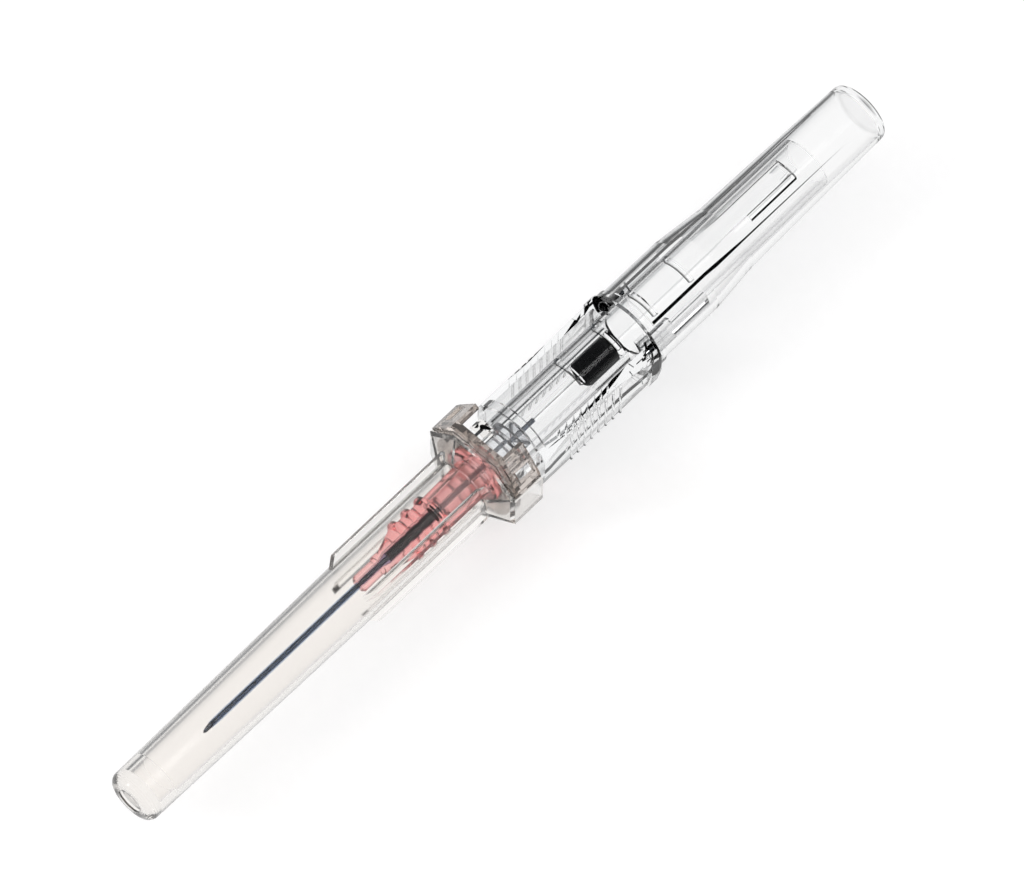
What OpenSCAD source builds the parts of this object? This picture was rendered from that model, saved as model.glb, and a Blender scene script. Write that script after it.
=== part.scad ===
// Safety IV catheter in its needle cover, lying on the flat of the cover's skirt.
// The long axis runs along X, with the needle's point towards -X and the slotted
// side of the housing up. A station is a distance along X from the cover's tip.

/* [Needle and catheter tube] */
// Outside diameter of the steel needle
needle_d = 0.8; // [0.6:0.05:1.1]
// Bore of the steel needle
needle_bore_d = 0.5; // [0.3:0.05:0.55]
// Length of the ground bevel at the needle's point
bevel_l = 2.6; // [1.5:0.1:4]
// How far the needle's point stands out of the catheter's tip
needle_lead = 1.5; // [1:0.1:4]
// Wall of the catheter tube
catheter_wall = 0.12; // [0.08:0.01:0.25]
// Length of the catheter tube in front of its hub
catheter_l = 31.75; // [19:0.25:48]
// Length of the taper at the catheter's tip
catheter_taper_l = 1.6; // [0.6:0.1:4]
// Free length inside the cover in front of the catheter's tip
tip_room = 17.1; // [10:0.1:30]

/* [Catheter hub] */
// Length of the hub from nose to rear face
hub_l = 26.1; // [24:0.1:34]
// Diameter of the hub's nose
hub_nose_d = 2.9; // [2.6:0.1:4]
// Length of the nose in front of its step
hub_nose_l = 4.4; // [3:0.1:5]
// Diameter of the step behind the nose
hub_step_d = 3.5; // [3:0.1:4.4]
// Length of the step behind the nose
hub_step_l = 1.6; // [0.8:0.1:2]
// Diameter of the hub between its rings
hub_neck_d = 5.8; // [5.2:0.1:6.2]
// Length of the cone in front of the first ring
hub_cone_l = 3.4; // [2:0.1:4]
// Diameter of the rings
ring_d = 7.2; // [6.6:0.1:8.4]
// Width of one ring
ring_w = 1.6; // [1:0.1:2.2]
// Distance from one ring to the next
ring_pitch = 2.85; // [2.6:0.05:3.2]
// Number of rings
ring_count = 3; // [2:1:3]
// Diameter of the rear body of the hub
hub_body_d = 6.5; // [5.9:0.1:7]
// Diameter of the rear flange
flange_d = 9.7; // [8:0.1:11]
// Thickness of the rear flange
flange_t = 1.3; // [0.8:0.1:2]
// Diameter of the luer mouth
luer_d = 4.3; // [4.1:0.05:4.5]
// Depth of the luer taper
luer_depth = 9; // [7.5:0.1:9.5]
// Outside diameter of the metal eyelet that holds the tube
eyelet_d = 1.6; // [1.5:0.05:1.9]
// Wall of the metal eyelet
eyelet_wall = 0.2; // [0.1:0.02:0.25]
// Diameter of the eyelet's flared mouth
eyelet_mouth_d = 2.9; // [2.3:0.1:3.2]

/* [Needle cover] */
// Wall of the cover
cover_wall = 0.9; // [0.6:0.1:1.6]
// Play between the cover's bore and the rings of the hub
cover_play = 0.5; // [0.3:0.1:1.5]
// How much narrower the cover's tip is than its rear, on the radius
cover_draft = 0.5; // [0.1:0.1:0.8]
// Rounding of the closed tip
tip_round = 1.5; // [0.6:0.1:1.8]
// Thickness of the closed tip
tip_wall = 2.7; // [1.5:0.1:4]
// Diameter of the shallow recess in the tip's face
tip_recess_d = 4.3; // [2:0.1:5]
// Depth of the recess in the tip's face
tip_recess = 0.6; // [0.3:0.1:1]
// Length of the narrow pocket behind the tip wall
pocket_l = 3.2; // [1:0.1:4]
// How much narrower the pocket is than the bore, on the radius
pocket_step = 0.4; // [0.2:0.1:1]
// Height of a cover rib
cover_rib_h = 1.5; // [0.8:0.1:2.4]
// Thickness of a cover rib
cover_rib_t = 1.1; // [0.6:0.1:1.6]
// Length of the slope at a rib's front
cover_rib_slope = 2.1; // [1:0.1:4]
// How far the ribs start in front of the hub's nose
cover_rib_lead = 2.6; // [0:0.2:8]
// Length of the flare in front of the skirt
flare_l = 2.4; // [2:0.1:4]
// Length of the skirt beside the collar
skirt_l = 6.1; // [4:0.1:6.4]
// Wall of the skirt
skirt_wall = 1; // [0.7:0.1:1.5]

/* [Push-off collar] */
// Diameter of the collar's round lower half
disc_d = 14.8; // [13.6:0.1:17]
// Thickness of the collar's rim, front to back
collar_t = 1.6; // [1.2:0.1:2.4]
// Depth of the recess in the collar's front
collar_recess = 0.7; // [0.4:0.1:0.9]
// Width of the rim round the recess
collar_rim = 1; // [0.7:0.1:1.4]
// Height of the hood's top above the long axis
hood_h = 9.35; // [8.6:0.05:11]
// Width of the hood's flat top
hood_top_w = 9.8; // [7:0.1:11]
// Width of the hood across its two corners
hood_w = 17.5; // [16.5:0.1:19]
// How far the hood's side wings run back
wing_l = 5.5; // [3:0.1:5.9]
// Thickness of a side wing
wing_t = 1; // [0.7:0.1:1.4]
// Length of the window in a wing
window_l = 3.1; // [1:0.1:3.4]
// Width of the window in a wing
window_w = 2.2; // [1:0.1:2.6]
// How far the window sits under the middle of the wing
window_drop = 0.8; // [0:0.1:0.9]

/* [Needle guard] */
// Wall of the guard tube
guard_wall = 0.7; // [0.5:0.05:1.2]
// Length of the square head behind the collar
head_l = 4.4; // [3:0.1:6]
// How far the guard's front ends up past the needle's point
shield_l = 2.4; // [1:0.1:6]
// Length of guard that stays in the grip when it is fully forward
guard_hold = 4.55; // [2:0.05:10]
// Width of the keel slot along the guard's underside
keel_slot_w = 3.1; // [2.6:0.1:3.6]
// Number of cross ribs on the guard's top
cross_rib_count = 4; // [2:1:4]
// Distance from one cross rib to the next
cross_rib_pitch = 8.05; // [6:0.05:8.4]
// Distance from the first cross rib to the vent plug
cross_rib_lead = 1.75; // [1:0.05:3]
// Thickness of a cross rib
cross_rib_t = 0.7; // [0.4:0.1:1.4]
// Height of a cross rib
cross_rib_h = 1; // [0.6:0.1:1.4]
// Length of the lock tongue
tongue_l = 9.6; // [6:0.1:12]
// Width of the lock tongue
tongue_w = 3; // [2:0.1:4]
// Height of the barb on the lock tongue
barb_h = 0.35; // [0.2:0.05:0.4]

/* [Needle hub and flash chamber] */
// Diameter of the stem through the guard's head
stem_d = 5; // [4.5:0.1:5.6]
// Gap between the guard's head and the needle hub's flange
seat_room = 0.8; // [0.5:0.1:3]
// Thickness of the needle hub's flange
seat_t = 1.1; // [0.7:0.1:2]
// Length of the plug end that seats in the flash chamber
spigot_l = 1.7; // [1.5:0.1:3]
// Bore of the flash chamber
chamber_bore_d = 4.7; // [4:0.1:5.4]
// Wall of the flash chamber
chamber_wall = 1.25; // [0.7:0.05:1.6]
// Length of the flash chamber
chamber_l = 22.5; // [16:0.1:30]
// Length of needle inside the flash chamber
needle_tail = 4.9; // [2.6:0.1:6]
// Thickness of the keel that carries the flash chamber
keel_t = 2.2; // [1.2:0.1:2.4]
// Distance from the vent plug's front to the keel
keel_lead = 2; // [0:0.1:3.5]
// Length of the vent plug
plug_l = 6.5; // [3:0.1:9]
// How far the vent plug sits inside the end of the flash chamber
plug_room = 0.85; // [0.1:0.05:2]

/* [Grip housing] */
// Gap from the guard's head to the front of the grip
grip_room = 2.1; // [1:0.1:4]
// Length of grip behind the flash chamber
grip_tail = 3.3; // [2.6:0.1:6]
// Wall of the grip at its waist
grip_wall = 1.15; // [0.8:0.05:2]
// Depth of the waist on each side
waist_depth = 0.65; // [0.3:0.05:1]
// Length of the waist
waist_l = 22; // [16:0.2:24]
// Height of the rails under the guard
rail_h = 1.1; // [0.6:0.1:1.6]
// Thickness of one rail
rail_t = 0.9; // [0.6:0.1:1.2]
// Thickness of the floor
floor_t = 1.15; // [0.8:0.05:1.8]
// Number of grip ridges on each side
ridge_count = 8; // [5:1:9]
// Distance from one grip ridge to the next
ridge_pitch = 1.55; // [1.2:0.05:1.6]
// Radius of a grip ridge
ridge_r = 0.25; // [0.2:0.05:0.5]
// Width of the flare at the rear edge
rim_flare = 0.3; // [0.1:0.05:0.35]
// Length of the rear bulkhead
bulkhead_t = 2; // [1.2:0.1:2.4]
// Length of the arch over the front of the grip
arch_l = 1.4; // [0.8:0.1:2.4]
// Thickness of the arch
arch_t = 0.8; // [0.6:0.1:1.2]

/* [Rear housing] */
// Wall of the bell round the spigot
bell_wall = 1.05; // [0.8:0.05:1.6]
// Length of the bell
bell_l = 13.3; // [13.3:0.1:18]
// Length of the taper behind the bell
bell_taper = 8.8; // [4:0.1:12]
// Wall of the tube
rear_wall = 1.2; // [1:0.05:1.4]
// How much narrower the closed end is than the tube, on the radius
rear_draft = 0.65; // [0.1:0.05:0.7]
// Free length behind the guard
end_room = 12.1; // [6:0.1:30]
// Thickness of the closed end
end_wall = 1; // [0.7:0.1:2]
// Rounding of the closed end
end_round = 1; // [0.5:0.1:1.4]
// Width of the slot along the top
top_slot_w = 7.4; // [7:0.1:8.4]
// Length of housing in front of the slot
slot_lead = 1.5; // [1:0.1:3]
// Wall left under the slot behind the bell, where the slot is a shallow groove
slot_wall = 0.7; // [0.5:0.05:0.8]
// Thickness of the wall of the grip's spigot inside the bell
spigot_wall = 1; // [0.7:0.05:1.4]
// Length of the spigot ring inside the bell
ring_l = 4.4; // [2:0.1:6]
// Length of the two spigot arms
arm_l = 11.8; // [8:0.1:13]

/* [Fits] */
// Radial gap between parts that slide past each other
slide_gap = 0.25; // [0.15:0.05:0.3]
// Radial gap of the luer and the catheter's bore
luer_gap = 0.03; // [0.01:0.01:0.08]
// Radial gap between parts that are bonded or pressed together
bond_gap = 0.02; // [0.01:0.01:0.04]
// Gap between the skirt and the collar
skirt_gap = 0.4; // [0.3:0.05:0.8]

/* [Hidden] */
$fn = 72;

// Overrun of every cut
over = 0.5;
// Small edge break
edge = 0.3;
// Taper of the luer, as a share of length on the radius
luer_taper_share = 0.03;
// Wall left at the catheter's tip, as a share of its wall
tip_edge_share = 0.4;
// Half angles from the top of the cross ribs and of the open top of the spigot
cross_rib_angle = 33;
spigot_open_angle = 48;
// Angles of the two spigot arms above the horizontal
arm_low_angle = 4;
arm_high_angle = 30;

// Radii, from the needle outwards
needle_r = needle_d / 2;
tube_bore_r = needle_r + luer_gap;
tube_r = tube_bore_r + catheter_wall;
eyelet_r = eyelet_d / 2;
bell_tube_r = eyelet_r + bond_gap + catheter_wall;
stem_r = stem_d / 2;
chamber_bore_r = chamber_bore_d / 2;
chamber_r = chamber_bore_r + chamber_wall;
guard_bore_r = chamber_r + slide_gap;
guard_r = guard_bore_r + guard_wall;
run_r = guard_r + slide_gap;
cross_rib_r = guard_r + cross_rib_h;
spigot_r = run_r + spigot_wall;
bell_bore_r = max(spigot_r, cross_rib_r + slide_gap) + bond_gap;
bell_r = bell_bore_r + bell_wall;
cover_bore_r = max(ring_d, hub_body_d) / 2 + cover_play;
cover_r = cover_bore_r + cover_wall;
disc_r = disc_d / 2;
skirt_in = disc_r + skirt_gap;
skirt_out = skirt_in + skirt_wall;
// Corner of an octagon whose flats are one unit from its centre
corner_share = 1 / cos(22.5);
// Drop of the hood's sides, as a share of their run outwards
hood_slope_share = 1.4;
axis_z = skirt_out;

// Stations, from the tip of the cover backwards
tube_x = tip_room;
point_x = tube_x - needle_lead;
hub_x = tube_x + catheter_l;
hub_end_x = hub_x + hub_l;
collar_x = hub_end_x - collar_recess;
plate_x = hub_end_x + bond_gap;
skirt_x = collar_x - skirt_gap;
skirt_end_x = skirt_x + skirt_l;
flare_x = skirt_x - flare_l;
rib_x = hub_x - cover_rib_lead;
head_x = collar_x + collar_t;
head_end_x = head_x + head_l;
seat_x = head_end_x + seat_room;
chamber_x = seat_x + seat_t;
chamber_end_x = chamber_x + chamber_l;
grip_x = head_end_x + grip_room;
rear_x = chamber_end_x + grip_tail;
grip_l = rear_x - grip_x;
travel = collar_x - point_x + shield_l;
guard_end_x = grip_x + travel + guard_hold;
end_x = guard_end_x + end_room + end_wall;
overall_l = end_x;

// Hub stations
step_x = hub_x + hub_nose_l;
cone_x = step_x + hub_step_l;
neck_x = cone_x + hub_cone_l;
first_ring_x = neck_x + ring_w / 2;
body_x = first_ring_x + (ring_count - 1) * ring_pitch + ring_w;
hub_flange_x = hub_end_x - flange_t;
luer_x = hub_end_x - luer_depth;
tube_bell_x = step_x + edge;
eyelet_x = cone_x + edge;
eyelet_end_x = luer_x - 2 * edge;
eyelet_flare_x = eyelet_end_x - (eyelet_mouth_d - eyelet_d) / 2;
tube_end_x = eyelet_flare_x - edge;

// Guard stations
plug_x = chamber_end_x - plug_room - plug_l;
keel_x = plug_x + keel_lead;
cross_rib_x = plug_x - cross_rib_lead - cross_rib_t;
tongue_end_x = grip_x + travel - edge;
tongue_x = tongue_end_x - tongue_l;
barb_w = tongue_w - 2 * edge;

// Outer radius of the track for the barb in the rear tube
track_r = norm([barb_w / 2, guard_r + barb_h]) + slide_gap * 2 / 3;

// Grip sizes across
channel_r = run_r + grip_wall / 3;
waist_r = channel_r + grip_wall;
grip_r = waist_r + waist_depth;
floor_z = run_r + rail_h;
base_z = floor_z + floor_t;
wall_top = guard_bore_r - slide_gap;
scoop_r = (waist_l * waist_l / 4 + waist_depth * waist_depth) / (2 * waist_depth);
waist_x = grip_x + (grip_l - bulkhead_t) / 2;
ridge_x = waist_x - (ridge_count - 1) * ridge_pitch / 2;

// Half outline of the grip, upwards from its base, as shares of its half width and its depth
grip_shares = [[0.78, -1], [0.9, -0.9], [1, -0.36], [1, 0.26]];

// Radius of the luer taper at a station
function luer_r_at(x) = luer_d / 2 - (hub_end_x - x) * luer_taper_share;

// Points of a round corner from angle a to angle b
function corner(centre_r, centre_x, r, a, b, steps = 6) = [
    for (i = [0:steps]) let (t = a + (b - a) * i / steps) [centre_r + r * cos(t), centre_x + r * sin(t)]
];

// A section drawn across the axis, as width and height, stands at its station
module across(station) {
    translate([station - overall_l / 2, 0, axis_z]) rotate([90, 0, 90]) children();
}

// A section drawn across the axis is drawn out backwards from its station
module run(station, length) {
    across(station) linear_extrude(length) children();
}

// A profile of radii and stations is turned about the long axis
module turned(points) {
    across(0) rotate_extrude() polygon(points);
}

// A shape drawn as stations and heights over the axis is cut to a width across
module side_cut(width) {
    translate([-overall_l / 2, width / 2, axis_z]) rotate([90, 0, 0]) linear_extrude(width) children();
}

// A wedge out from the axis between two angles above the horizontal
module wedge(a, b, reach) {
    polygon([[0, 0], reach * [cos(a), sin(a)], reach * [cos((a + b) / 2), sin((a + b) / 2)],
        reach * [cos(b), sin(b)]]);
}

// Ring between two radii
module ring(inner, outer) {
    difference() {
        circle(r = outer);
        circle(r = inner);
    }
}

// Closed sheath over the needle, with four ribs and a flared eight-sided skirt
module needle_cover() {
    tip_r = cover_r - cover_draft;
    bore_tip_r = cover_bore_r - cover_draft;
    color([0.93, 0.92, 0.89, 0.6]) difference() {
        union() {
            turned(concat(
                [[0, tip_recess], [tip_recess_d / 2, tip_recess], [tip_recess_d / 2, 0]],
                corner(tip_r - tip_round, tip_round, tip_round, -90, 0),
                [[cover_r, rib_x], [cover_r, skirt_x], [0, skirt_x]]
            ));
            for (a = [45:90:315]) cover_rib(a);
            funnel(cover_r + edge, skirt_out, 0);
        }
        turned([[0, tip_wall], [bore_tip_r - pocket_step, tip_wall], [bore_tip_r - pocket_step, tip_wall + pocket_l],
            [bore_tip_r, tip_wall + pocket_l], [cover_bore_r, rib_x], [cover_bore_r, skirt_x], [0, skirt_x]]);
        funnel(cover_bore_r - edge, skirt_in, over);
        skirt_notch();
    }
}

// Eight-sided funnel and straight skirt: flats at one distance in front and another behind
module funnel(front, rear, extra) {
    last_x = skirt_end_x + extra;
    intersection_for(a = [0:45:135]) translate([-overall_l / 2, 0, axis_z]) rotate([a, 0, 0]) rotate([90, 0, 0])
        linear_extrude(3 * rear, center = true)
            polygon([[flare_x, -front], [skirt_x, -rear], [last_x, -rear],
                [last_x, rear], [skirt_x, rear], [flare_x, front]]);
}

// One rib along the rear half of the cover, at an angle about the axis
module cover_rib(a) {
    low = cover_bore_r + cover_wall / 2;
    high = cover_r + cover_rib_h;
    translate([-overall_l / 2, 0, axis_z]) rotate([a, 0, 0]) rotate([90, 0, 0])
        linear_extrude(cover_rib_t, center = true)
            polygon([[rib_x, low], [rib_x + cover_rib_slope, high], [skirt_x - edge, high], [skirt_x - edge, low]]);
}

// Opening in the top of the skirt for the collar's hood
module skirt_notch() {
    notch_z = hood_corner_z() - skirt_gap - edge;
    side_cut(2 * (skirt_out + over)) polygon([[skirt_x, notch_z], [skirt_x, hood_h + over],
        [skirt_end_x + over, hood_h + over], [skirt_end_x + over, notch_z - over - edge],
        [skirt_end_x - edge, notch_z - edge], [skirt_end_x - 3 * edge, notch_z]]);
}

// Soft tube that stays in the vein, belled at its rear over the eyelet
module catheter_tube() {
    color([0.45, 0.5, 0.55]) turned([
        [tube_bore_r, tube_x], [tube_bore_r + catheter_wall * tip_edge_share, tube_x],
        [tube_r, tube_x + catheter_taper_l], [tube_r, tube_bell_x], [bell_tube_r, eyelet_x],
        [bell_tube_r, tube_end_x], [eyelet_r + bond_gap, tube_end_x],
        [eyelet_r + bond_gap, eyelet_x - bond_gap], [tube_bore_r, tube_bell_x]
    ]);
}

// Metal funnel that wedges the belled tube into the hub
module tube_eyelet() {
    bore = eyelet_r - eyelet_wall;
    color([0.55, 0.56, 0.58]) turned([
        [bore, eyelet_x], [eyelet_r, eyelet_x], [eyelet_r, eyelet_flare_x],
        [eyelet_mouth_d / 2, eyelet_end_x], [eyelet_mouth_d / 2 - eyelet_wall, eyelet_end_x],
        [bore, eyelet_flare_x + eyelet_wall]
    ]);
}

// Coloured hub with three rings, a luer mouth and a rear flange
module catheter_hub() {
    neck_r = hub_neck_d / 2;
    ring_r = ring_d / 2;
    seat_r = bell_tube_r + bond_gap;
    outside = concat(
        [[tube_r + bond_gap, hub_x], [hub_nose_d / 2 - edge, hub_x], [hub_nose_d / 2, hub_x + edge],
            [hub_nose_d / 2, step_x], [hub_step_d / 2, step_x], [hub_step_d / 2, cone_x], [neck_r, neck_x]],
        [for (i = [0:ring_count - 1]) let (x = first_ring_x + i * ring_pitch)
            each [[neck_r, x - ring_w / 2], [ring_r, x - edge], [ring_r, x + edge], [neck_r, x + ring_w / 2]]],
        [[hub_body_d / 2 - edge, body_x], [hub_body_d / 2, hub_flange_x], [flange_d / 2 - edge, hub_flange_x],
            [flange_d / 2, hub_flange_x + edge], [flange_d / 2, hub_end_x]]
    );
    inside = [[luer_r_at(hub_end_x), hub_end_x], [luer_r_at(luer_x), luer_x],
        [eyelet_mouth_d / 2 + bond_gap, luer_x - edge], [eyelet_mouth_d / 2 + bond_gap, eyelet_end_x],
        [seat_r, eyelet_flare_x - edge], [seat_r, eyelet_x], [tube_r + bond_gap, tube_bell_x]];
    color([0.86, 0.45, 0.47, 0.7]) turned(concat(outside, inside));
}

// Hollow steel needle with a bevel that faces up
module steel_needle() {
    tail_x = chamber_x + needle_tail;
    color([0.5, 0.52, 0.56]) difference() {
        run(point_x, tail_x - point_x) ring(needle_bore_d / 2, needle_r);
        side_cut(2 * (needle_r + over)) polygon([[point_x, -needle_r], [point_x + bevel_l, needle_r],
            [point_x + bevel_l, needle_r + over], [point_x - over, needle_r + over], [point_x - over, -needle_r]]);
    }
}

// Moulded hub that holds the needle: luer nose, stem, flange and chamber plug
module needle_hub() {
    nose_x = luer_x + 2 * edge;
    bore = needle_r + bond_gap;
    nose_end_r = luer_r_at(hub_end_x) - luer_gap;
    seat_r = chamber_r - bond_gap;
    plug_r = chamber_bore_r - bond_gap;
    plug_end_x = chamber_x + spigot_l;
    color([0.85, 0.9, 0.96, 0.8]) turned([
        [bore, nose_x], [luer_r_at(nose_x) - luer_gap - edge, nose_x],
        [luer_r_at(nose_x + edge) - luer_gap, nose_x + edge], [nose_end_r, hub_end_x],
        [nose_end_r, head_x], [stem_r, head_x + edge], [stem_r, seat_x], [seat_r, seat_x],
        [seat_r, chamber_x], [plug_r, chamber_x], [plug_r, plug_end_x], [plug_r - edge, plug_end_x],
        [bore, chamber_x]
    ]);
}

// Clear chamber behind the needle hub, with the keel that stands on the grip's floor
module flash_chamber() {
    color([0.9, 0.93, 0.95, 0.4]) {
        run(chamber_x, chamber_l) ring(chamber_bore_r, chamber_r);
        run(keel_x, chamber_end_x - keel_x) keel_section();
    }
}

// Keel under the flash chamber
module keel_section() {
    difference() {
        translate([-keel_t / 2, -floor_z]) square([keel_t, floor_z - chamber_bore_r]);
        circle(r = chamber_r - chamber_wall / 4);
    }
}

// Black porous plug that vents the flash chamber
module vent_plug() {
    plug_r = chamber_bore_r - bond_gap;
    plug_end_x = plug_x + plug_l;
    color([0.05, 0.05, 0.06]) turned([
        [0, plug_x], [plug_r - edge, plug_x], [plug_r, plug_x + edge],
        [plug_r, plug_end_x - edge], [plug_r - edge, plug_end_x], [0, plug_end_x]
    ]);
}

// Clear tube that slides forward over the needle, with a square head in front
module needle_guard() {
    head_bore_r = stem_r + slide_gap;
    color([0.9, 0.94, 0.96, 0.4]) {
        difference() {
            union() {
                run(plate_x, head_x - plate_x) circle(r = collar_hole_r() - bond_gap);
                run(head_x, head_l) head_section();
                run(head_end_x - over, guard_end_x - head_end_x + over) circle(r = guard_r);
            }
            run(plate_x - over, head_end_x - plate_x) circle(r = head_bore_r);
            run(head_end_x - over, guard_end_x - head_end_x + 2 * over) circle(r = guard_bore_r);
            run(keel_x - edge, guard_end_x - keel_x + edge + over)
                translate([-keel_slot_w / 2, -guard_r - over]) square([keel_slot_w, guard_r]);
            tongue_cut();
        }
        for (i = [0:cross_rib_count - 1]) run(cross_rib_x + i * cross_rib_pitch, cross_rib_t) cross_rib_section();
        tongue_barb();
    }
}

// Square of the guard's head, with its corners taken off
module head_section() {
    half = guard_r + edge / 3;
    flat = half - guard_wall;
    polygon([[half, -flat], [half, flat], [flat, half], [-flat, half],
        [-half, flat], [-half, -flat], [-flat, -half], [flat, -half]]);
}

// Cross rib over the top of the guard
module cross_rib_section() {
    intersection() {
        ring(guard_r - guard_wall / 2, cross_rib_r);
        wedge(90 - cross_rib_angle, 90 + cross_rib_angle, 2 * cross_rib_r);
    }
}

// Slits round three sides of the lock tongue
module tongue_cut() {
    slit = slide_gap + edge;
    for (side = [-1, 1]) translate([tongue_x - overall_l / 2, side * (tongue_w + slit) / 2 - slit / 2, axis_z])
        cube([tongue_l + slit, slit, guard_r + over]);
    translate([tongue_end_x - overall_l / 2, -tongue_w / 2 - slit / 2, axis_z])
        cube([slit, tongue_w + slit, guard_r + over]);
}

// Barb at the free end of the lock tongue
module tongue_barb() {
    low = guard_r - guard_wall;
    side_cut(barb_w) polygon([[tongue_end_x - 8 * barb_h, low + edge], [tongue_end_x, low + edge],
        [tongue_end_x, guard_r + barb_h], [tongue_end_x - edge, guard_r + barb_h]]);
}

// Radius of the hole in the collar for the guard's front
function collar_hole_r() = guard_r - edge;

// Height of the hood's corners over the axis
function hood_corner_z() = hood_h - (hood_w - hood_top_w) / 2 * hood_slope_share;

// Front outline of the collar, brought in on all sides by an inset
module collar_outline(inset) {
    corner_z = hood_corner_z();
    union() {
        circle(r = disc_r - inset);
        polygon([[hood_top_w / 2 - inset / 2, hood_h - inset], [hood_w / 2 - inset * corner_share, corner_z + inset / 4],
            [disc_r - inset - edge, corner_z - edge + inset / 2], [0, 0],
            [inset + edge - disc_r, corner_z - edge + inset / 2],
            [inset * corner_share - hood_w / 2, corner_z + inset / 4], [inset / 2 - hood_top_w / 2, hood_h - inset]]);
    }
}

// Smoke-coloured collar that the finger pushes, with a hood and two side wings
module push_off_collar() {
    color([0.52, 0.48, 0.43, 0.7]) difference() {
        union() {
            run(collar_x, collar_t) collar_outline(0);
            for (side = [-1, 1]) collar_wing(side);
        }
        run(collar_x - over, plate_x - collar_x + over) collar_outline(collar_rim);
        run(collar_x, collar_t + over) circle(r = collar_hole_r());
        for (side = [-1, 1]) wing_window(side);
    }
}

// Side wing: the sloping side of the hood, run back beside the guard's head
module collar_wing(side) {
    corner_z = hood_corner_z();
    top = [side * hood_top_w / 2, hood_h];
    low = [side * hood_w / 2, corner_z];
    inward = wing_t / norm(top - low) * [-side * (hood_h - corner_z), -(hood_w - hood_top_w) / 2];
    intersection() {
        run(collar_x, wing_l) polygon([top, low, low + inward, top + inward]);
        side_cut(2 * hood_w) polygon([[collar_x, 0], [collar_x + wing_l - wing_t, 0], [collar_x + wing_l, hood_h / 2],
            [collar_x + wing_l, hood_h + over], [collar_x, hood_h + over]]);
    }
}

// Rectangular window through a wing
module wing_window(side) {
    mid_y = (hood_top_w + hood_w) / 4;
    mid_z = (hood_h + hood_corner_z()) / 2;
    slope = atan2(hood_h - hood_corner_z(), (hood_w - hood_top_w) / 2);
    translate([head_x + edge - overall_l / 2, side * mid_y, axis_z + mid_z]) rotate([-side * slope, 0, 0])
        translate([0, side * window_drop - window_w / 2, -wing_t - over])
            cube([window_l, window_w, 2 * (wing_t + over)]);
}

// Ribbed channel that is held in the fingers and carries needle, guard and rear tube
module grip_housing() {
    color([0.92, 0.95, 0.97, 0.4]) {
        difference() {
            union() {
                run(grip_x, grip_l) grip_section(grip_r, base_z);
                run(rear_x - bulkhead_t, bulkhead_t) grip_section(grip_r + rim_flare, base_z + rim_flare);
            }
            run(grip_x - over, grip_l - bulkhead_t + over) channel_section();
            run(rear_x - bulkhead_t - over, bulkhead_t + 2 * over) circle(r = run_r);
            for (side = [-1, 1]) translate([waist_x - overall_l / 2, side * (waist_r + scoop_r), 0])
                cylinder(h = 2 * axis_z, r = scoop_r, $fn = 360);
        }
        run(grip_x, grip_l - bulkhead_t) rails();
        run(grip_x, arch_l) arch();
        for (side = [-1, 1], i = [0:ridge_count - 1]) grip_ridge(side, ridge_x + i * ridge_pitch);
        spigot();
    }
}

// Outer section of the grip, for a half width and a depth under the axis
module grip_section(half_w, depth) {
    right = [for (p = grip_shares) [p.x * half_w, p.y * depth]];
    left = [for (i = [len(right) - 1:-1:0]) [-right[i].x, right[i].y]];
    shoulder = half_w - grip_wall * 2 / 3;
    polygon(concat(right, [[shoulder, wall_top], [-shoulder, wall_top]], left));
}

// Open channel inside the grip
module channel_section() {
    right = [for (p = grip_shares) [p.x * channel_r, p.y * floor_z]];
    left = [for (i = [len(right) - 1:-1:0]) [-right[i].x, right[i].y]];
    polygon(concat(right, [[channel_r, wall_top + over], [-channel_r, wall_top + over]], left));
}

// Two rails that the guard runs on
module rails() {
    difference() {
        for (side = [-1, 1]) translate([side * guard_r / 2 - rail_t / 2 + side * rail_t / 4, -floor_z - edge])
            square([rail_t, floor_z + edge - guard_r / 2]);
        circle(r = run_r);
    }
}

// Arch over the front of the channel, clear of the guard's cross ribs
module arch() {
    inner = cross_rib_r + slide_gap + edge;
    intersection() {
        ring(inner, inner + arch_t);
        translate([-grip_r, wall_top - 2 * edge]) square([2 * grip_r, grip_r]);
    }
}

// One upright ridge on the waist of the grip
module grip_ridge(side, x) {
    away = x - waist_x;
    y = waist_r + scoop_r - sqrt(scoop_r * scoop_r - away * away);
    low_z = base_z * 0.86;
    translate([x - overall_l / 2, side * y, axis_z - low_z]) cylinder(h = low_z + guard_r / 2, r = ridge_r, $fn = 24);
}

// Open ring and two arms behind the grip, which seat in the bell of the rear housing
module spigot() {
    run(rear_x - bond_gap, ring_l + bond_gap) difference() {
        ring(run_r, spigot_r);
        wedge(90 - spigot_open_angle, 90 + spigot_open_angle, 2 * spigot_r);
    }
    for (turn = [0, 1]) mirror([0, turn, 0]) run(rear_x, arm_l) intersection() {
        ring(run_r, spigot_r);
        wedge(arm_low_angle, arm_high_angle, 2 * spigot_r);
    }
}

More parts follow.
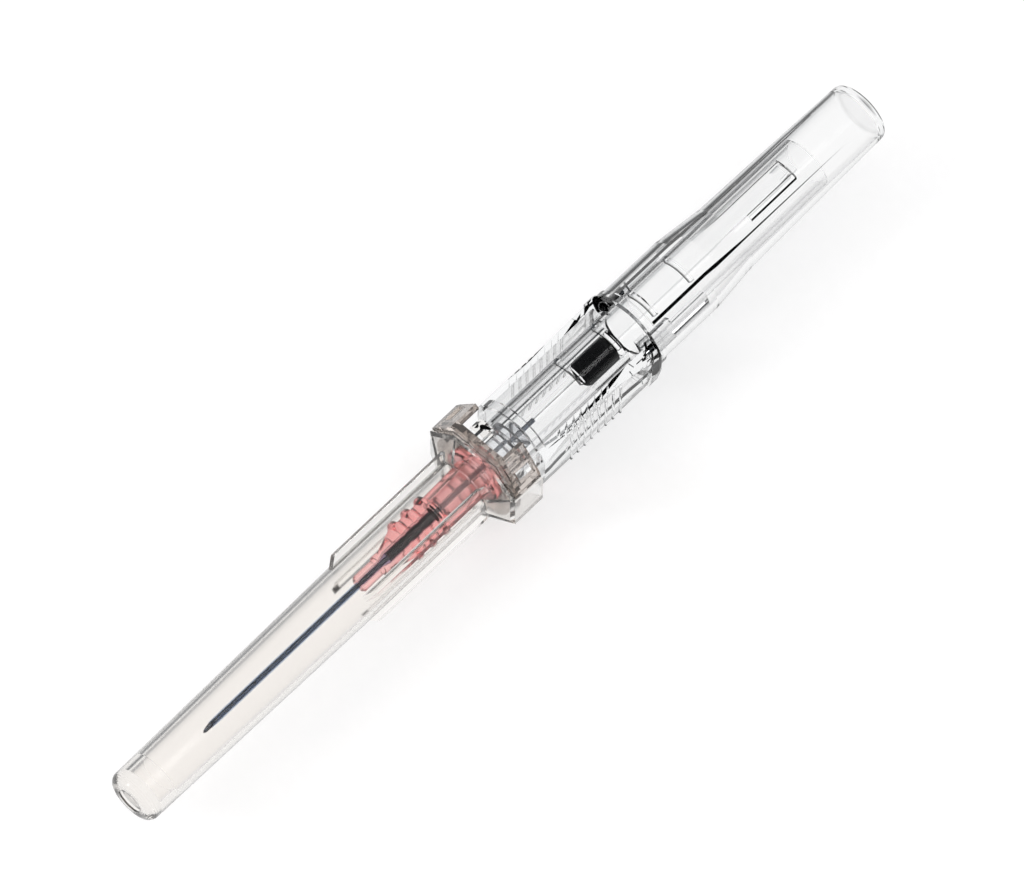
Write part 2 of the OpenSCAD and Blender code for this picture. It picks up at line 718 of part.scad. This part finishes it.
// Closed clear tube behind the grip, with a bell in front and a slot in the top that fades out
module rear_housing() {
    bell_end_x = rear_x + bell_l;
    tube_start_x = bell_end_x + bell_taper;
    tube_out_r = run_r + rear_wall;
    end_r = tube_out_r - rear_draft;
    slot_x = rear_x + slot_lead;
    color([0.92, 0.95, 0.97, 0.4]) difference() {
        turned(concat(
            [[bell_bore_r, rear_x], [bell_r + rim_flare, rear_x], [bell_r + rim_flare, rear_x + slot_lead - edge],
                [bell_r, rear_x + slot_lead], [bell_r, bell_end_x], [tube_out_r, tube_start_x]],
            corner(end_r - end_round, end_x - end_round, end_round, 0, 90),
            [[0, end_x], [0, end_x - end_wall]],
            corner(run_r - end_round, end_x - end_wall - end_round, end_round, 90, 0),
            [[run_r, tube_start_x], [bell_bore_r, bell_end_x]]
        ));
        run(slot_x, end_x + over - slot_x) slot_section();
        run(slot_x, tongue_end_x + edge - slot_x) track_section();
    }
}

// Section of the slot: open into the bell, and a shallow groove in the tube behind it
module slot_section() {
    difference() {
        translate([-top_slot_w / 2, 0]) square([top_slot_w, bell_r + rim_flare + over]);
        circle(r = run_r + slot_wall);
    }
}

// Section of the track inside the tube for the barb of the guard's lock tongue
module track_section() {
    half_w = barb_w / 2 + slide_gap;
    intersection() {
        circle(r = track_r);
        translate([-half_w, 0]) square([2 * half_w, bell_r]);
    }
}

needle_cover();
catheter_tube();
tube_eyelet();
catheter_hub();
steel_needle();
needle_hub();
flash_chamber();
vent_plug();
needle_guard();
push_off_collar();
grip_housing();
rear_housing();
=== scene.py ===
import math

import bpy
from mathutils import Matrix, Vector


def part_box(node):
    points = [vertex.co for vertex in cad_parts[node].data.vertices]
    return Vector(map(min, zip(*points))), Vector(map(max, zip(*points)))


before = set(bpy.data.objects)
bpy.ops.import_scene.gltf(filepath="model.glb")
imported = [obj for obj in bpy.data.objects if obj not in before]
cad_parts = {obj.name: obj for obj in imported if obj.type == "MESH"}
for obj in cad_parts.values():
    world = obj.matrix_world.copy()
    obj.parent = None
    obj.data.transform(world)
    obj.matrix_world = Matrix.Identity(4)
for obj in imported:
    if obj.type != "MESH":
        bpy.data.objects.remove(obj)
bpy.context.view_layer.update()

# Camera. The photograph looks down on the part from the needle's end, a little from its left,
# through a long lens, so that the part runs from the lower left to the upper right.
view_azimuth = math.radians(-46.8)
view_elevation = math.radians(62.6)
view_distance = 1.35
picture_width_px = 1024
picture_height_px = 891
part_centre_px = (502.9, 448.7)
pixels_per_m = 6634
sensor_width_mm = 36
needle_low, needle_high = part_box("steel_needle")
part_centre = Vector((0, 0, (needle_low.z + needle_high.z) / 2))
back = Vector((
    math.sin(view_azimuth) * math.cos(view_elevation),
    -math.cos(view_azimuth) * math.cos(view_elevation),
    math.sin(view_elevation),
))
right = Vector((math.cos(view_azimuth), math.sin(view_azimuth), 0))
up = back.cross(right)
aim = part_centre + right * (picture_width_px / 2 - part_centre_px[0]) / pixels_per_m
aim += up * (part_centre_px[1] - picture_height_px / 2) / pixels_per_m
camera = bpy.data.objects.new("camera", bpy.data.cameras.new("camera"))
bpy.context.scene.collection.objects.link(camera)
camera.data.sensor_width = sensor_width_mm
camera.data.lens = sensor_width_mm * view_distance * pixels_per_m / picture_width_px
camera.data.clip_start = view_distance / 10
camera.data.clip_end = view_distance * 10
turn = Matrix((right, up, back)).transposed().to_4x4()
camera.matrix_world = Matrix.Translation(aim + back * view_distance) @ turn
bpy.context.scene.camera = camera

# Studio room. It is white to the camera and pale grey to everything that it lights. Polished
# faces mirror a darker room, and plastic that bends light shows its upper part nearly black,
# which draws the thin dark lines of clear mouldings.
room_white = (1, 1, 1, 1)
room_shade = (0.62, 0.63, 0.65, 1)
room_mirrored = (0.3, 0.31, 0.33, 1)
room_dark = (0.05, 0.055, 0.06, 1)
dark_from_height = 0.06
dark_to_height = 0.3
most_bounces = 32


def add(tree, kind, **inputs):
    """A node of one kind, with values set on its sockets and links made to them."""
    node = tree.nodes.new(kind)
    for name, value in inputs.items():
        socket = node.inputs[name.replace("_", " ")]
        if isinstance(value, bpy.types.NodeSocket):
            tree.links.new(value, socket)
        else:
            socket.default_value = value
    return node


def mixed_colour(tree, factor, a, b, blend="MIX"):
    """Colour b over colour a by a factor. A Mix node's colours are its sockets 6, 7 and 2."""
    node = tree.nodes.new("ShaderNodeMix")
    node.data_type = "RGBA"
    node.blend_type = blend
    first, second, result = node.inputs[6], node.inputs[7], node.outputs[2]
    for socket, value in ((node.inputs["Factor"], factor), (first, a), (second, b)):
        if isinstance(value, bpy.types.NodeSocket):
            tree.links.new(value, socket)
        else:
            socket.default_value = value
    return result


world = bpy.data.worlds.new("room")
bpy.context.scene.world = world
world.use_nodes = True
tree = world.node_tree
tree.nodes.clear()
path = tree.nodes.new("ShaderNodeLightPath")
direction = tree.nodes.new("ShaderNodeTexCoord")
height = add(tree, "ShaderNodeSeparateXYZ", Vector=direction.outputs["Generated"])
ceiling = tree.nodes.new("ShaderNodeValToRGB")
ceiling.color_ramp.elements[0].position = dark_from_height
ceiling.color_ramp.elements[0].color = room_white
ceiling.color_ramp.elements[1].position = dark_to_height
ceiling.color_ramp.elements[1].color = room_dark
tree.links.new(height.outputs["Z"], ceiling.inputs["Fac"])
seen = mixed_colour(tree, path.outputs["Is Glossy Ray"], room_shade, room_mirrored)
seen = mixed_colour(tree, path.outputs["Is Transmission Ray"], seen, ceiling.outputs["Color"])
seen = mixed_colour(tree, path.outputs["Is Camera Ray"], seen, room_white)
sky = add(tree, "ShaderNodeBackground", Color=seen, Strength=1.0)
tree.links.new(sky.outputs[0], add(tree, "ShaderNodeOutputWorld").inputs["Surface"])

cycles = bpy.context.scene.cycles
cycles.max_bounces = most_bounces
cycles.transmission_bounces = most_bounces
cycles.transparent_max_bounces = 2 * most_bounces
cycles.caustics_refractive = False
cycles.caustics_reflective = False
bpy.context.scene.view_settings.view_transform = "Standard"

# Paper under the part. It is a round white sheet that keeps the part's shadow. A share of its
# own light lifts it to white for the camera, and mirrors and bent light see it plain white.
paper_radius = 0.7
paper_corners = 64
paper_place = (-0.003, 0, -0.00002)
paper_own_share = 0.55
paper_dark = (0.5, 0.49, 0.48, 1)
paper_light = (0.56, 0.55, 0.54, 1)
paper_grain_scale = 900.0


def either(tree, a, b):
    """One where either of two light path flags is one."""
    node = tree.nodes.new("ShaderNodeMath")
    node.operation = "MAXIMUM"
    tree.links.new(a, node.inputs[0])
    tree.links.new(b, node.inputs[1])
    return node.outputs[0]


def chosen(tree, flag, off, on):
    """One of two shaders, by a light path flag."""
    node = tree.nodes.new("ShaderNodeMixShader")
    tree.links.new(flag, node.inputs[0])
    tree.links.new(off, node.inputs[1])
    tree.links.new(on, node.inputs[2])
    return node.outputs[0]


turns = [k * math.tau / paper_corners for k in range(paper_corners)]
paper_rim = [(paper_radius * math.cos(a), paper_radius * math.sin(a), 0) for a in turns]
mesh = bpy.data.meshes.new("paper")
mesh.from_pydata(paper_rim, [], [list(range(paper_corners))])
paper = bpy.data.objects.new("paper", mesh)
bpy.context.scene.collection.objects.link(paper)
paper.location = paper_place
white_paper = bpy.data.materials.new("white_paper")
white_paper.use_nodes = True
tree = white_paper.node_tree
tree.nodes.clear()
path = tree.nodes.new("ShaderNodeLightPath")
grain = add(tree, "ShaderNodeTexNoise", Scale=paper_grain_scale, Detail=3.0)
paper_colour = mixed_colour(tree, grain.outputs["Fac"], paper_dark, paper_light)
lit = add(tree, "ShaderNodeBsdfDiffuse", Color=paper_colour)
glow = add(tree, "ShaderNodeEmission", Color=room_white, Strength=paper_own_share)
lifted = tree.nodes.new("ShaderNodeAddShader")
tree.links.new(lit.outputs[0], lifted.inputs[0])
tree.links.new(glow.outputs[0], lifted.inputs[1])
by_eye = chosen(tree, path.outputs["Is Camera Ray"], lit.outputs[0], lifted.outputs[0])
bent = either(tree, path.outputs["Is Glossy Ray"], path.outputs["Is Transmission Ray"])
white = add(tree, "ShaderNodeEmission", Color=room_white, Strength=1.0)
paper_surface = chosen(tree, bent, by_eye, white.outputs[0])
add(tree, "ShaderNodeOutputMaterial", Surface=paper_surface)
mesh.materials.append(white_paper)

# Grey cards on the paper, beside the part. Only light that plastic bends shows them, so they
# draw soft dark bands along clear mouldings, as black cards do in a product studio. Each fades
# out across its width and towards its end away from the collar.
card_lift = 0.0001
card_full_share = 0.68
card_tint = Vector((0.9, 0.95, 1))


def grey_card(name, inner_x, open_x, near_y, far_y, level):
    """A card from near the part to far from it, with the grey level of its middle."""
    mesh = bpy.data.meshes.new(name)
    corners = ((inner_x, near_y), (open_x, near_y), (open_x, far_y), (inner_x, far_y))
    mesh.from_pydata([(x, y, card_lift) for x, y in corners], [], [(0, 1, 2, 3)])
    card = bpy.data.objects.new(name, mesh)
    bpy.context.scene.collection.objects.link(card)
    card.visible_camera = card.visible_diffuse = card.visible_shadow = card.visible_glossy = False
    grey = bpy.data.materials.new(name)
    grey.use_nodes = True
    tree = grey.node_tree
    tree.nodes.clear()
    place = tree.nodes.new("ShaderNodeTexCoord")
    where = add(tree, "ShaderNodeSeparateXYZ", Vector=place.outputs["Object"])
    across = add(
        tree, "ShaderNodeMapRange", Value=where.outputs["Y"], From_Min=near_y, From_Max=far_y,
    )
    fade = tree.nodes.new("ShaderNodeValToRGB")
    tree.links.new(across.outputs[0], fade.inputs["Fac"])
    half_level = (1 + level) / 2.4
    steps = ((0.0, 1.0), (0.09, 0.9), (0.2, half_level), (0.3, level), (0.55, level), (1.0, 1.0))
    fade.color_ramp.elements[0].position = steps[0][0]
    fade.color_ramp.elements[1].position = steps[-1][0]
    for at, tone in steps[1:-1]:
        fade.color_ramp.elements.new(at)
    for element, (at, tone) in zip(fade.color_ramp.elements, steps):
        cool = card_tint.lerp(Vector((1, 1, 1)), tone)
        element.color = (*(tone * cool), 1)
    along = add(
        tree, "ShaderNodeMapRange", Value=where.outputs["X"],
        From_Min=open_x, From_Max=open_x * card_full_share,
    )
    tone = mixed_colour(tree, along.outputs[0], room_white, fade.outputs["Color"])
    own = add(tree, "ShaderNodeEmission", Color=tone, Strength=1.0)
    add(tree, "ShaderNodeOutputMaterial", Surface=own.outputs[0])
    mesh.materials.append(grey)


grey_card("front_card", inner_x=-0.006, open_x=-0.125, near_y=0.007, far_y=0.03, level=0.25)
grey_card("rear_card", inner_x=-0.006, open_x=0.12, near_y=0.008, far_y=0.039, level=0.03)
grey_card("near_card", inner_x=-0.006, open_x=0.12, near_y=-0.011, far_y=-0.03, level=0.1)

# Lamps. Two soft boxes light the part, and neither the camera nor a mirror sees them. The key
# lamp stands low behind the part, so that the shadow falls to the lower right.


def soft_lamp(name, place, size, power):
    """A square soft box that looks at the part."""
    data = bpy.data.lights.new(name, "AREA")
    data.shape = "SQUARE"
    data.size = size
    data.energy = power
    lamp = bpy.data.objects.new(name, data)
    bpy.context.scene.collection.objects.link(lamp)
    lamp.location = place
    lamp.rotation_mode = "QUATERNION"
    lamp.rotation_quaternion = (-Vector(place)).to_track_quat("-Z", "Y")
    lamp.visible_camera = False
    lamp.visible_glossy = False


soft_lamp("key_lamp", place=(-0.75, 0.55, 0.5), size=0.22, power=5.0)
soft_lamp("fill_lamp", place=(0.2, -0.4, 0.95), size=0.5, power=2.0)

# Grip housing, rear housing and flash chamber: the fixed clear shell of the device. They are
# injection moulded in polished clear plastic and pushed together, so their faces carry only a
# faint flow ripple, and the grain of the tool shows as slight changes of gloss.
ripple_height = 0.0002
weak_reflection = (0.4, 0.4, 0.4, 1)


def flow_ripple():
    """Group that gives a moulding its faint ripple, its changes of gloss and its cloudiness."""
    group = bpy.data.node_groups.new("flow_ripple", "ShaderNodeTree")
    own_values = {
        "Ripple Scale": 300.0, "Ripple Depth": 0.05, "Haze Scale": 140.0, "Gloss": 0.04,
        "Gloss Change": 0.03,
    }
    for name, value in own_values.items():
        socket = group.interface.new_socket(name, in_out="INPUT", socket_type="NodeSocketFloat")
        socket.default_value = value
    group.interface.new_socket("Roughness", in_out="OUTPUT", socket_type="NodeSocketFloat")
    group.interface.new_socket("Normal", in_out="OUTPUT", socket_type="NodeSocketVector")
    group.interface.new_socket("Mask", in_out="OUTPUT", socket_type="NodeSocketFloat")
    given = group.nodes.new("NodeGroupInput").outputs
    put_out = group.nodes.new("NodeGroupOutput").inputs
    place = group.nodes.new("ShaderNodeTexCoord").outputs["Object"]
    ripple = add(
        group, "ShaderNodeTexNoise", Vector=place, Scale=given["Ripple Scale"], Detail=2.0,
    )
    bump = add(
        group, "ShaderNodeBump", Height=ripple.outputs["Fac"], Strength=given["Ripple Depth"],
        Distance=ripple_height,
    )
    haze = add(group, "ShaderNodeTexNoise", Vector=place, Scale=given["Haze Scale"], Detail=4.0)
    gloss = group.nodes.new("ShaderNodeMath")
    gloss.operation = "MULTIPLY_ADD"
    group.links.new(haze.outputs["Fac"], gloss.inputs[0])
    group.links.new(given["Gloss Change"], gloss.inputs[1])
    group.links.new(given["Gloss"], gloss.inputs[2])
    group.links.new(gloss.outputs[0], put_out["Roughness"])
    group.links.new(bump.outputs["Normal"], put_out["Normal"])
    group.links.new(haze.outputs["Fac"], put_out["Mask"])
    return group


ripple_group = flow_ripple()


def see_through(
    name, tint, painted_rim_shade, painted_rim_shade_power, ior, clear, gloss, gloss_change, ripple, shade,
    absorb=room_white, density=0.0, haze_scale=140.0, haze_dark=0.98,
):
    """A see-through plastic: its tint face on, its painted rim shade, and the colour it takes with
    depth.
    Shadows and scattered light pass it straight, dimmed by its shade."""
    material = bpy.data.materials.new(name)
    material.use_nodes = True
    tree = material.node_tree
    tree.nodes.clear()
    flow = tree.nodes.new("ShaderNodeGroup")
    flow.node_tree = ripple_group
    flow.inputs["Ripple Depth"].default_value = ripple
    flow.inputs["Gloss"].default_value = gloss
    flow.inputs["Gloss Change"].default_value = gloss_change
    flow.inputs["Haze Scale"].default_value = haze_scale
    # Painted shade: the colour turns to the rim colour where the face is seen edge on, for the
    # dark edges that bent light shows.
    edge = add(tree, "ShaderNodeLayerWeight", Blend=0.5)
    steep = tree.nodes.new("ShaderNodeMath")
    steep.operation = "POWER"
    tree.links.new(edge.outputs["Facing"], steep.inputs[0])
    steep.inputs[1].default_value = painted_rim_shade_power
    body = mixed_colour(tree, steep.outputs[0], tint, painted_rim_shade)
    haze_grey = (haze_dark, haze_dark, haze_dark, 1)
    cloudy = mixed_colour(tree, flow.outputs["Mask"], haze_grey, room_white)
    body = mixed_colour(tree, 1.0, body, cloudy, "MULTIPLY")
    plastic = add(
        tree, "ShaderNodeBsdfPrincipled", Base_Color=body, Roughness=flow.outputs["Roughness"],
        IOR=ior, Transmission_Weight=clear, Normal=flow.outputs["Normal"],
        Specular_Tint=weak_reflection,
    )
    path = tree.nodes.new("ShaderNodeLightPath")
    unlit = either(tree, path.outputs["Is Shadow Ray"], path.outputs["Is Diffuse Ray"])
    straight = add(tree, "ShaderNodeBsdfTransparent", Color=shade)
    surface = chosen(tree, unlit, plastic.outputs[0], straight.outputs[0])
    output = add(tree, "ShaderNodeOutputMaterial", Surface=surface)
    if density:
        depth = add(tree, "ShaderNodeVolumeAbsorption", Color=absorb, Density=density)
        tree.links.new(depth.outputs[0], output.inputs["Volume"])
    return material


def finish_with(node, material):
    """Gives a CAD piece its finish."""
    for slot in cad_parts[node].material_slots:
        slot.material = material


clear_look = dict(
    tint=room_white, painted_rim_shade=(0.03, 0.033, 0.036, 1), painted_rim_shade_power=3.6, clear=1.0, gloss=0.0,
    gloss_change=0.03, ripple=0.02, absorb=(0.6, 0.64, 0.68, 1), density=10.0,
    shade=(0.88, 0.883, 0.887, 1),
)
clear_plastic = see_through("clear_plastic", ior=1.33, **clear_look)
for node in ("grip_housing", "rear_housing", "flash_chamber"):
    finish_with(node, clear_plastic)

# Vent plug: a cylinder of black porous plastic that lets air out of the flash chamber and keeps
# blood in. It is pressed into the chamber's rear end, and it is quite matt.
grain_height = 0.0001


def solid_finish(name, dark, light, metal, gleam, rough_low, rough_high, grain_scale, depth):
    """An opaque finish with two tones of grain."""
    material = bpy.data.materials.new(name)
    material.use_nodes = True
    tree = material.node_tree
    shader = tree.nodes["Principled BSDF"]
    place = tree.nodes.new("ShaderNodeTexCoord").outputs["Object"]
    grain = add(tree, "ShaderNodeTexNoise", Vector=place, Scale=grain_scale, Detail=6.0)
    share = grain.outputs["Fac"]
    tree.links.new(mixed_colour(tree, share, dark, light), shader.inputs["Base Color"])
    rough = add(tree, "ShaderNodeMapRange", Value=share, To_Min=rough_low, To_Max=rough_high)
    tree.links.new(rough.outputs[0], shader.inputs["Roughness"])
    bump = add(tree, "ShaderNodeBump", Height=share, Strength=depth, Distance=grain_height)
    tree.links.new(bump.outputs[0], shader.inputs["Normal"])
    shader.inputs["Metallic"].default_value = metal
    shader.inputs["Specular IOR Level"].default_value = gleam
    return material


vent_foam = solid_finish(
    "vent_foam", dark=(0.001, 0.001, 0.001, 1), light=(0.004, 0.004, 0.004, 1), metal=0.0,
    gleam=0.02, rough_low=0.8, rough_high=0.98, grain_scale=6000.0, depth=0.3,
)
finish_with("vent_plug", vent_foam)

# Needle hub: the core that holds the steel needle, with its luer nose in the catheter hub and
# its plug end in the flash chamber. It is moulded in bluish white plastic that light passes
# softly, so that blood can be seen behind it.
nose_plastic = see_through(
    "nose_plastic", tint=(0.985, 0.99, 1.0, 1), painted_rim_shade=(0.25, 0.27, 0.3, 1), painted_rim_shade_power=3.0, ior=1.34,
    clear=0.85, gloss=0.03, gloss_change=0.05, ripple=0.04, absorb=(0.7, 0.78, 0.84, 1),
    density=20.0, shade=(0.88, 0.89, 0.9, 1),
)
finish_with("needle_hub", nose_plastic)

# Steel needle: a drawn stainless tube with a ground point, glued into the needle hub. Drawing
# leaves it bright and a little streaked, and it mirrors a dark room. Its colour is painted a dark
# blue-grey as well, a painted reflection of that dark room, under the streaks of its grain.
needle_steel_painted_dark = solid_finish(
    "steel", dark=(0.03, 0.036, 0.05, 1), light=(0.17, 0.2, 0.26, 1), metal=1.0, gleam=0.5,
    rough_low=0.22, rough_high=0.38, grain_scale=2500.0, depth=0.3,
)
finish_with("steel_needle", needle_steel_painted_dark)

# Needle guard: the tube that slides forward over the needle. It is moulded in a clear plastic
# that bends light a little more than the housing's, so that its edges show inside the housing.
guard_plastic = see_through("guard_plastic", ior=1.42, **clear_look)
finish_with("needle_guard", guard_plastic)

# Push-off collar: the ring, hood and windowed wings that a finger pushes. It is moulded in
# smoke-coloured plastic and fixed round the front of the guard.
smoke_plastic = see_through(
    "smoke_plastic", tint=(0.74, 0.68, 0.64, 1), painted_rim_shade=(0.02, 0.018, 0.016, 1), painted_rim_shade_power=2.4,
    ior=1.47, clear=0.9, gloss=0.0, gloss_change=0.03, ripple=0.02,
    absorb=(0.62, 0.52, 0.44, 1), density=60.0, shade=(0.76, 0.74, 0.72, 1),
)
finish_with("push_off_collar", smoke_plastic)

# Catheter hub: the ringed hub that stays on the patient, pushed on to the needle hub's nose.
# It is moulded in pink see-through plastic, and the colour stands for the tube's gauge.
pink_plastic = see_through(
    "pink_plastic", tint=(1.0, 0.8, 0.79, 1), painted_rim_shade=(0.65, 0.03, 0.05, 1), painted_rim_shade_power=1.9, ior=1.26,
    clear=1.0, gloss=0.02, gloss_change=0.04, ripple=0.03, absorb=(0.94, 0.2, 0.22, 1),
    density=110.0, shade=(0.93, 0.86, 0.86, 1),
)
finish_with("catheter_hub", pink_plastic)

# Eyelet: a small steel funnel that wedges the belled end of the tube into the catheter hub. It
# is drawn from thin sheet. Its colour is painted near black with a touch of red, a painted shade
# for the inside of the pink hub.
eyelet_steel_painted_shade = solid_finish(
    "eyelet_steel_painted_shade", dark=(0.012, 0.003, 0.004, 1), light=(0.03, 0.006, 0.008, 1), metal=1.0,
    gleam=0.5, rough_low=0.3, rough_high=0.45, grain_scale=2500.0, depth=0.3,
)
finish_with("tube_eyelet", eyelet_steel_painted_shade)

# Catheter tube: the soft tube that goes into the vein, over the needle up to its point. It is
# extruded in bluish see-through plastic with a tapered tip, and it is slightly mottled.
tube_plastic = see_through(
    "tube_plastic", tint=(0.7, 0.82, 1.0, 1), painted_rim_shade=(0.36, 0.47, 0.66, 1), painted_rim_shade_power=3.0, ior=1.1,
    clear=0.995, gloss=0.1, gloss_change=0.15, ripple=0.1, shade=(0.85, 0.88, 0.92, 1),
    haze_scale=1600.0, haze_dark=0.6,
)
finish_with("catheter_tube", tube_plastic)

# Needle cover: the ribbed sheath over the needle, pushed on round the collar. It is moulded in
# natural plastic, which is milky and a little less glossy than the clear pieces.
milky_plastic = see_through(
    "milky_plastic", tint=(0.985, 0.965, 0.945, 1), painted_rim_shade=(0.5, 0.51, 0.53, 1), painted_rim_shade_power=2.6,
    ior=1.34, clear=0.99, gloss=0.1, gloss_change=0.06, ripple=0.03,
    absorb=(0.8, 0.74, 0.66, 1), density=30.0, shade=(0.86, 0.855, 0.85, 1),
)
finish_with("needle_cover", milky_plastic)
